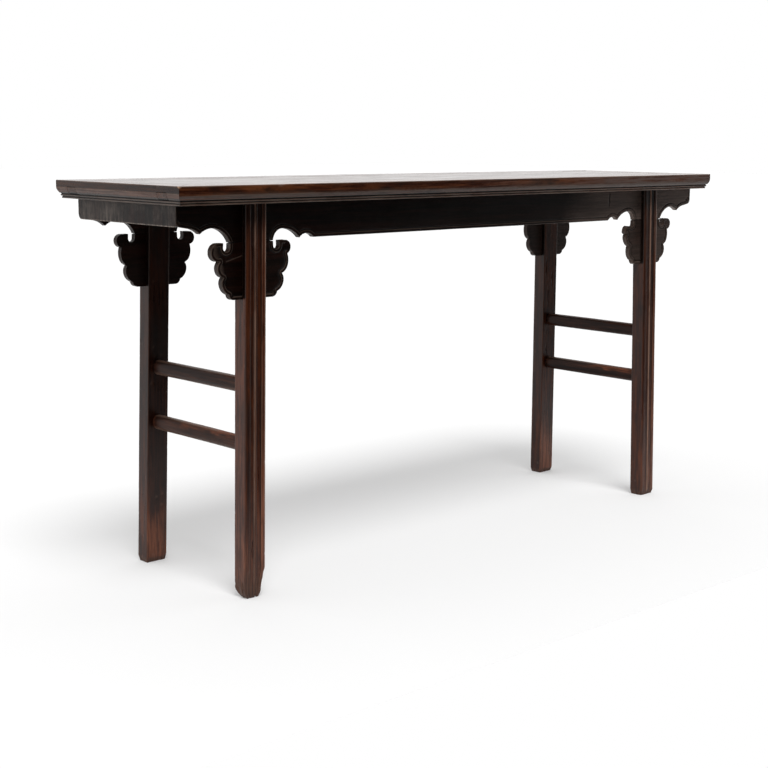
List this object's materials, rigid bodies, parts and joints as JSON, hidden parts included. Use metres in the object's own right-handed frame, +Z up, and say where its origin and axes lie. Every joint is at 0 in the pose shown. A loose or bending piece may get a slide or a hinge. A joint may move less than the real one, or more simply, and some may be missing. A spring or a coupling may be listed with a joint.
{
  "type": "chinese altar table",
  "caption": "Long narrow recessed-leg table with a moulded frame-and-panel top, scrolled aprons, cloud-shaped spandrels through splayed legs, and rungs across each end.",
  "frame": {"origin": "on the floor under the middle of the top", "axes": "+Z up, +X along the length towards the right end seen from the front, -Y towards the front"},
  "size_m": [1.753, 0.446, 0.864],
  "materials": {
    "top_frame_wood": "old dark lacquered hardwood, reddish brown, worn along the edges",
    "top_panel_wood": "old dark hardwood boards with a rubbed satin surface",
    "batten_wood": "unfinished dark wood, dusty, never polished",
    "leg_wood": "old dark lacquered hardwood, fine upright grain, worn paler at the foot",
    "board_wood": "nearly black old lacquer over carved hardwood",
    "rung_wood": "old dark hardwood, rubbed reddish on top"
  },
  "bodies": {
    "root": {"top_frame_front_stile": "top_frame_wood", "top_frame_back_stile": "top_frame_wood", "top_frame_left_end_rail": "top_frame_wood", "top_frame_right_end_rail": "top_frame_wood", "top_panel_front_board": "top_panel_wood", "top_panel_back_board": "top_panel_wood", "panel_batten_1": "batten_wood", "panel_batten_2": "batten_wood", "panel_batten_3": "batten_wood", "panel_batten_4": "batten_wood", "front_left_leg": "leg_wood", "front_right_leg": "leg_wood", "back_left_leg": "leg_wood", "back_right_leg": "leg_wood", "front_apron": "board_wood", "back_apron": "board_wood", "left_end_apron": "board_wood", "right_end_apron": "board_wood", "front_left_spandrel": "board_wood", "front_right_spandrel": "board_wood", "back_left_spandrel": "board_wood", "back_right_spandrel": "board_wood", "left_upper_rung": "rung_wood", "left_lower_rung": "rung_wood", "right_upper_rung": "rung_wood", "right_lower_rung": "rung_wood"}
  },
  "joints": []
}
